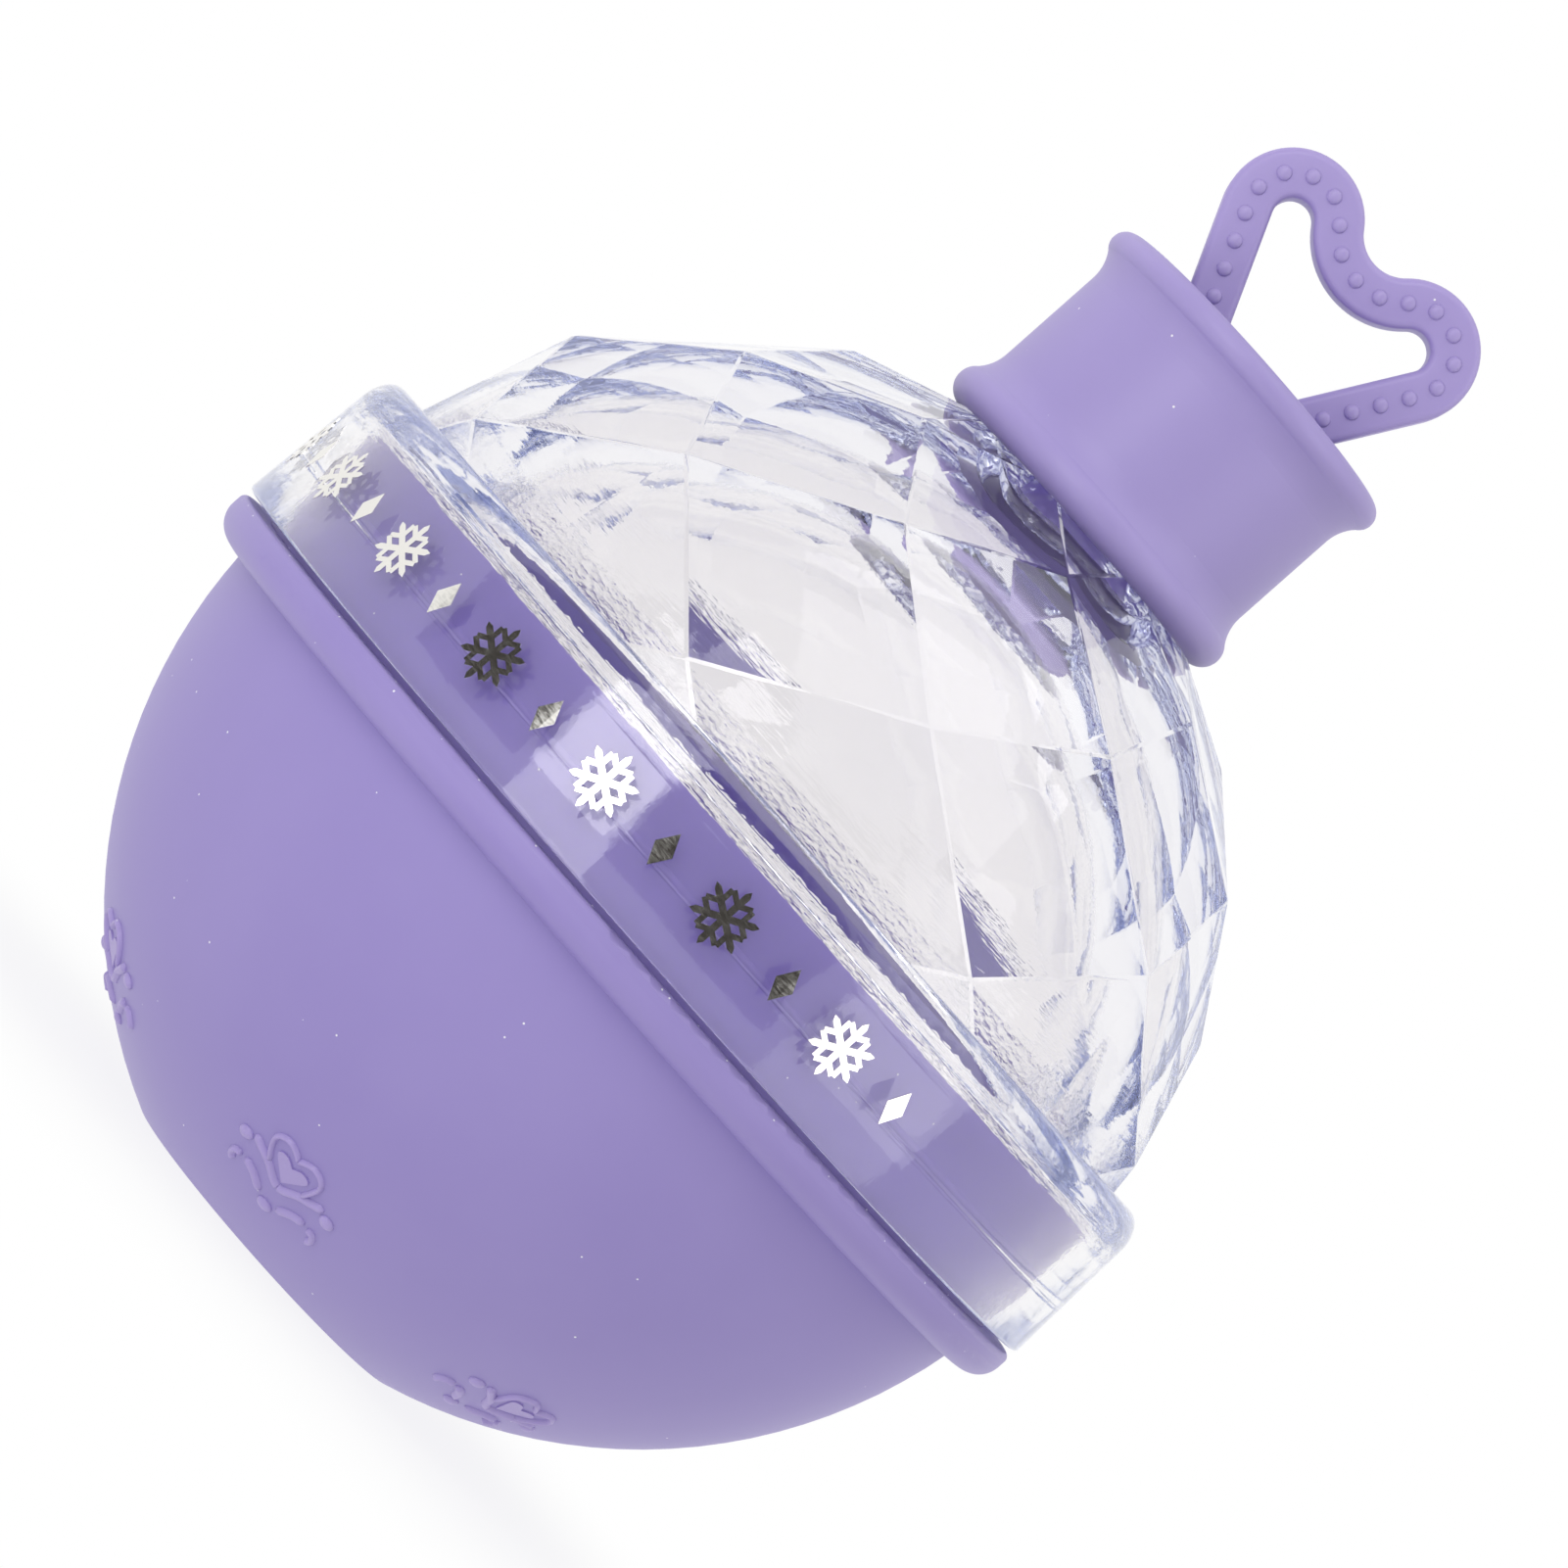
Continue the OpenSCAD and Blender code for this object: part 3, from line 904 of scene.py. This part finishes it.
def on_bowl(across, along, out):
    """A place on the front of the bowl, from millimetres across and along its skin and out of it."""
    lat = ORNAMENT_LAT + along / BOWL_R
    turn = across / (BOWL_R * math.cos(lat))
    r = BOWL_R + out
    flat = r * math.cos(lat)
    return Vector((flat * math.sin(turn), -flat * math.cos(turn), BOWL_Z + r * math.sin(lat))) * MM


def smooth_line(points, steps=8):
    """A soft line through the points."""
    points = [Vector(p) for p in points]
    line = []
    ends = [2 * points[0] - points[1]] + points + [2 * points[-1] - points[-2]]
    for a, b, c, d in zip(ends, ends[1:], ends[2:], ends[3:]):
        for i in range(steps):
            t = i / steps
            square, cube = 2 * a - 5 * b + 4 * c - d, 3 * b - a - 3 * c + d
            line.append(0.5 * (2 * b + (c - a) * t + square * t * t + cube * t**3))
    return line + [points[-1]]


def ridge(mesh, points, width):
    """A rounded ridge with rounded ends along a soft line."""
    line = smooth_line(points)
    last = len(line) - 1
    rings = []
    for i, p in enumerate(line):
        swell = RIDGE_SWELL[min(i, last - i, 2)]
        ahead = (line[min(i + 1, last)] - line[max(i - 1, 0)]).normalized()
        across = Vector((-ahead.y, ahead.x)) * width / 2 * swell
        hump = [(math.cos(a), math.sin(a) ** 2 * RIDGE_HEIGHT * swell) for a in HUMP]
        section = [(p + across * side, out) for side, out in [(1, -RIDGE_SINK)] + hump + [(-1, -RIDGE_SINK)]]
        rings.append([mesh.verts.new(on_bowl(spot.x, spot.y, out)) for spot, out in section])
    count = len(rings[0])
    skin = [mesh.faces.new(rings[0]), mesh.faces.new(rings[-1])]
    for low, high in zip(rings, rings[1:]):
        for i in range(count):
            skin.append(mesh.faces.new((low[i], low[(i + 1) % count], high[(i + 1) % count], high[i])))
    for face in skin:
        face.smooth = True
    bmesh.ops.recalc_face_normals(mesh, faces=skin)


def bead(mesh, centre, half_across, half_along):
    """A flat oval drop."""
    made = bmesh.ops.create_uvsphere(mesh, u_segments=18, v_segments=10, radius=1.0)["verts"]
    for corner in made:
        x, y, z = corner.co
        corner.co = on_bowl(centre[0] + x * half_across, centre[1] + y * half_along, z * RIDGE_HEIGHT)
    for face in {face for corner in made for face in corner.link_faces}:
        face.smooth = True


def plateau(mesh, outline, height):
    """A low flat island with that outline."""
    low = [mesh.verts.new(on_bowl(x, y, -RIDGE_SINK)) for x, y in outline]
    high = [mesh.verts.new(on_bowl(x, y, height)) for x, y in outline]
    skin = [mesh.faces.new(low), mesh.faces.new(high)]
    for i in range(len(outline)):
        j = (i + 1) % len(outline)
        skin.append(mesh.faces.new((low[i], low[j], high[j], high[i])))
    bmesh.ops.recalc_face_normals(mesh, faces=skin)


print(f"the middle of an ornament is {on_bowl(0, 0, 0).z / MM:.1f} mm up")

# %% One ornament, and the ring of six
HEART_STROKE = 0.4
SWING_STROKE = 0.64
CURL_STROKE = 0.52
ISLAND_HEIGHT = 0.1
heart = [(0, 2.67), (0.38, 3.05), (1.07, 3.36), (1.75, 3.12), (2.05, 2.53), (1.88, 1.65), (1.45, 0.55)]
swing = [(0, -0.7), (0.45, -0.5), (1.0, 0.0), (1.5, 0.42), (2.2, 0.78), (3.1, 1.3)]
low_swing = [(0.8, -2.63), (1.75, -1.7), (2.7, -1.23)]
curl = [(3.05, -1.35), (3.55, -1.5), (3.68, -2.05), (3.4, -2.5)]
strokes = [(heart, HEART_STROKE), (swing, SWING_STROKE), (low_swing, SWING_STROKE), (curl, CURL_STROKE)]

ornament = bmesh.new()
for side in (1, -1):
    for stroke, width in strokes:
        ridge(ornament, [(side * x, y) for x, y in stroke], width)
    bead(ornament, (side * 3.7, 0.65), 0.58, 0.5)
bead(ornament, (0, -3.27), 0.62, 0.5)
island = smooth_line([(0, 0.0), (0.62, 0.8), (1.28, 1.7), (1.2, 2.1), (0.62, 2.2), (0, 1.75)], 5)
outline = [(p.x, p.y) for p in island] + [(-p.x, p.y) for p in reversed(island[1:-1])]
plateau(ornament, outline, ISLAND_HEIGHT)
ornament = as_object("ornament_guide", ornament)
ornaments = as_object("ornaments", bmesh.new())
grow(
    ornaments,
    ring_of_copies,
    Copy=ornament,
    Count=ORNAMENTS,
    First=math.radians(ORNAMENT_TURN),
    Step=math.radians(360 / ORNAMENTS),
    # painted lighter: the loop's lighter silicone lifts the shade along the ridges
    Material=loop_silicone_painted_lightest,
)
bpy.data.objects.remove(ornament)
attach(ornaments, "cup")
print("faces of the ornaments:", len(ornaments.data.polygons))

# %% [markdown]
# ## Foil marks on the band
# The real band carries a stamped row of mirror foil on its front. Here the row holds snowflakes and
# diamonds. A mark is cut from flat foil, sliced so that it can bend, and laid on the slightly conical band.
# The die presses it in, so only a hair of it stands proud.

# %% A mark of foil
FOIL_Z = 35.9
FOIL_PROUD = 0.05
FOIL_SUNK = 0.02
FOIL_SLICE = 0.4
FLAKE_ARM = 1.85
FLAKE_TIP = 0.35
FLAKE_HALF = 0.22
BARB_AT = 0.95
BARB_LENGTH = 0.8
BARB_W = 0.36
DIAMOND_W = 1.5
DIAMOND_H = 2.7


def snowflake():
    """The outline of a flake with six barbed arms, in millimetres."""
    barb = Vector((math.sin(math.radians(60)), math.cos(math.radians(60))))
    inner = Vector((FLAKE_HALF, BARB_AT))
    outer = inner + barb * BARB_LENGTH
    shoulder = outer + Vector((-barb.y, barb.x)) * BARB_W
    back_in = shoulder - barb * ((shoulder.x - FLAKE_HALF) / barb.x)
    side = [Vector((FLAKE_HALF, FLAKE_HALF * math.sqrt(3))), inner, outer, shoulder, back_in]
    side.append(Vector((FLAKE_HALF, FLAKE_ARM)))
    arm = side + [Vector((0, FLAKE_ARM + FLAKE_TIP))] + [Vector((-p.x, p.y)) for p in reversed(side[1:])]
    return [Matrix.Rotation(math.radians(60 * k), 2) @ p for k in range(6) for p in arm]


def foil_mark(outline):
    mesh = bmesh.new()
    mesh.faces.new([mesh.verts.new((p.x, p.y, -FOIL_SUNK)) for p in outline])
    reach = max(p.x for p in outline)
    slices = int(2 * reach / FOIL_SLICE)
    for i in range(1, slices):
        cut_x = -reach + 2 * reach * i / slices
        whole = list(mesh.verts) + list(mesh.edges) + list(mesh.faces)
        bmesh.ops.bisect_plane(mesh, geom=whole, plane_co=(cut_x, 0, 0), plane_no=(1, 0, 0))
    raised = bmesh.ops.extrude_face_region(mesh, geom=list(mesh.faces))["geom"]
    for corner in raised:
        if isinstance(corner, bmesh.types.BMVert):
            corner.co.z = FOIL_PROUD
    for corner in mesh.verts:
        x, y, out = corner.co
        r = band_radius(FOIL_Z + y) + out
        turn = x / BAND_R
        corner.co = Vector((r * math.sin(turn), -r * math.cos(turn), FOIL_Z + y)) * MM
    bmesh.ops.recalc_face_normals(mesh, faces=mesh.faces)
    return mesh


print("points of a snowflake:", len(snowflake()))

# %% The row of marks
MARK_STEP = 17.0
MARKS = 7
FIRST_FLAKE = -79.5
diamond_outline = [Vector((DIAMOND_W / 2, 0)), Vector((0, DIAMOND_H / 2))]
diamond_outline += [-corner for corner in diamond_outline]
row_of_marks = as_object("foil_marks", bmesh.new())
for outline, first in ((snowflake(), FIRST_FLAKE), (diamond_outline, FIRST_FLAKE + MARK_STEP / 2)):
    mark = as_object("mark_guide", foil_mark(outline))
    grow(
        row_of_marks,
        ring_of_copies,
        Copy=mark,
        Count=MARKS,
        First=math.radians(first),
        Step=math.radians(MARK_STEP),
        Material=foil,
    )
    bpy.data.objects.remove(mark)
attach(row_of_marks, "cover")
print("faces of the foil:", len(row_of_marks.data.polygons))

# %% [markdown]
# ## Stage and light
# The photograph was taken in a white tent. Paper below and all round is white to the camera, to mirrors and
# to clear walls, and the floor keeps a faint shadow round the foot. Light that reaches a surface through a
# clear wall has been gathered by that wall, so such a ray gets a strength of its own and a faint blue tint.

# %% How a ray sees the white tent
GUIDED_LIGHT = 0.95
GUIDED_TINT = "#E6E6FF"
WHITE = "#FFFFFF"


def seen_by_eye(tree):
    """Whether the camera sees a spot, how far any eye sees it, and the tint of light behind a clear wall."""
    ray = add(tree, "ShaderNodeLightPath").outputs
    bent = add(
        tree,
        "ShaderNodeMath",
        {0: ray["Is Glossy Ray"], 1: ray["Is Transmission Ray"]},
        operation="MAXIMUM",
    )
    lit = add(tree, "ShaderNodeMath", {0: ray["Diffuse Depth"], 1: 1.0}, operation="MINIMUM")
    behind = add(tree, "ShaderNodeMath", {0: bent.outputs[0], 1: lit.outputs[0]}, operation="MULTIPLY")
    share = add(
        tree,
        "ShaderNodeMapRange",
        {"Value": lit.outputs[0], "To Min": 1.0, "To Max": GUIDED_LIGHT},
    ).outputs["Result"]
    guided = add(tree, "ShaderNodeMath", {0: bent.outputs[0], 1: share}, operation="MULTIPLY")
    seen = add(tree, "ShaderNodeMath", {0: guided.outputs[0], 1: ray["Is Camera Ray"]}, operation="MAXIMUM")
    tint = add(
        tree,
        "ShaderNodeMix",
        {"Factor": behind.outputs[0], "A": linear(WHITE), "B": linear(GUIDED_TINT)},
        data_type="RGBA",
    )
    return ray["Is Camera Ray"], seen.outputs[0], tint.outputs["Result"]


print("light behind a clear wall:", GUIDED_LIGHT, "of white")

# %% Floor
FLOOR_R = 2.0
PAPER = "#F2F2F2"
FLOOR_BOUNCE = 0.8
SHADOW_KEPT = 0.15
SHADOW_REACH = (15 * MM, 70 * MM)

floor_mesh = bmesh.new()
bmesh.ops.create_circle(floor_mesh, cap_ends=True, radius=FLOOR_R, segments=96)
floor = as_object("floor", floor_mesh)
paper, tree = new_material("white_paper")
direct, seen, tint = seen_by_eye(tree)
place = add(tree, "ShaderNodeTexCoord").outputs["Object"]
far = add(tree, "ShaderNodeVectorMath", {0: place}, operation="LENGTH")
fade = add(
    tree,
    "ShaderNodeMapRange",
    {
        "Value": far.outputs["Value"],
        "From Min": SHADOW_REACH[0],
        "From Max": SHADOW_REACH[1],
        "To Min": 1 - SHADOW_KEPT,
        "To Max": 1.0,
    },
    interpolation_type="SMOOTHSTEP",
).outputs["Result"]
white = add(tree, "ShaderNodeMix", {"Factor": direct, "A": 1.0, "B": fade}, data_type="FLOAT")
diffuse = add(tree, "ShaderNodeBsdfDiffuse", {"Color": linear(PAPER)})
strength = add(tree, "ShaderNodeMapRange", {"Value": seen, "To Min": FLOOR_BOUNCE, "To Max": 1.0})
glow = add(tree, "ShaderNodeEmission", {"Color": tint, "Strength": strength.outputs["Result"]})
both = add(
    tree,
    "ShaderNodeMixShader",
    {0: white.outputs["Result"], 1: diffuse.outputs[0], 2: glow.outputs[0]},
)
add(tree, "ShaderNodeOutputMaterial", {"Surface": both.outputs[0]})
floor.data.materials.append(paper)
print("the floor is", 2 * FLOOR_R, "m across")

# %% Surround
AMBIENT = 0.42

world = bpy.data.worlds.new("white_surround")
world.use_nodes = True
scene.world = world
tree = world.node_tree
tree.nodes.clear()
seen, tint = seen_by_eye(tree)[1:]
strength = add(tree, "ShaderNodeMapRange", {"Value": seen, "To Min": AMBIENT, "To Max": 1.0})
surround = add(tree, "ShaderNodeBackground", {"Color": tint, "Strength": strength.outputs["Result"]})
add(tree, "ShaderNodeOutputWorld", {"Surface": surround.outputs[0]})
print("the surround lights the mold with", AMBIENT, "of white")

# %% [markdown]
# ## Cards and soft boxes
# The side of the room where the camera stands is dark, which is why the foil turns dark in the middle. Dark
# cards that only reflections see stand for that side. A tall soft box at the left makes the pale upright
# stripe on the band, one at the right shows in the gloss alone, and a large one hangs above. Two at the
# sides, behind the mold, light the edges of the bowl, and a small one on the paper stands for the glow that
# comes back from it.


# %% Dark cards
def around(azimuth, distance, height):
    """A place round the mold: azimuth 0 is the side of the camera."""
    turn = math.radians(azimuth)
    return Vector((math.sin(turn) * distance, -math.cos(turn) * distance, height))


CLOTH = "#3A3735"
CARD_DISTANCE = 0.62
CARD_HEIGHT = 0.8
black, tree = new_material("black_cloth")
cloth = add(tree, "ShaderNodeEmission", {"Color": linear(CLOTH), "Strength": 1.0})
add(tree, "ShaderNodeOutputMaterial", {"Surface": cloth.outputs[0]})
for name, low_azimuth, high_azimuth in (("dark_front", -13, 32), ("dark_left", -72, -39)):
    middle = (low_azimuth + high_azimuth) / 2
    half = math.tan(math.radians(high_azimuth - low_azimuth) / 2) * CARD_DISTANCE
    mesh = bmesh.new()
    bmesh.ops.create_grid(mesh, x_segments=1, y_segments=1, size=1.0)
    bmesh.ops.scale(mesh, vec=(half, CARD_HEIGHT / 2, 1), verts=mesh.verts)
    card = as_object(name, mesh)
    card.location = around(middle, CARD_DISTANCE, CARD_HEIGHT / 2)
    card.rotation_euler = (math.radians(90), 0, math.radians(middle))
    card.visible_camera = card.visible_diffuse = card.visible_shadow = card.visible_transmission = False
    card.data.materials.append(black)
    print("made", name)


# %% Soft boxes
def soft_box(name, place, aim, size, power, lights=True, mirrored=True):
    """An area lamp of that size in metres and power in watts, hidden from the camera."""
    lamp = bpy.data.lights.new(name, "AREA")
    lamp.shape = "RECTANGLE"
    lamp.size, lamp.size_y = size
    lamp.energy = power
    made = bpy.data.objects.new(name, lamp)
    made.location = place
    made.rotation_euler = (aim - place).to_track_quat("-Z", "Y").to_euler()
    made.visible_camera = False
    made.visible_diffuse = lights
    made.visible_glossy = made.visible_transmission = mirrored
    scene.collection.objects.link(made)


top_aim, dome_aim, middle_aim = [Vector((0, 0, height)) for height in (0.1, 0.06, 0.05)]
soft_box("left_strip", around(-26, 0.9, 0.4), top_aim, (0.38, 0.8), 3.1)
soft_box("right_shine", around(58, 0.9, 0.4), top_aim, (0.62, 0.8), 2.0, lights=False)
soft_box("left_fill", around(-118, 0.8, 0.4), dome_aim, (0.6, 0.8), 1.5, mirrored=False)
soft_box("right_fill", around(112, 0.8, 0.4), dome_aim, (0.6, 0.8), 1.5, mirrored=False)
soft_box("floor_glow", around(-27, 0.12, 0.002), around(-27, 0.11, 0.1), (0.1, 0.1), 0.045)
soft_box("top_box", around(20, 0.3, 1.0), middle_aim, (0.9, 0.9), 2.5)
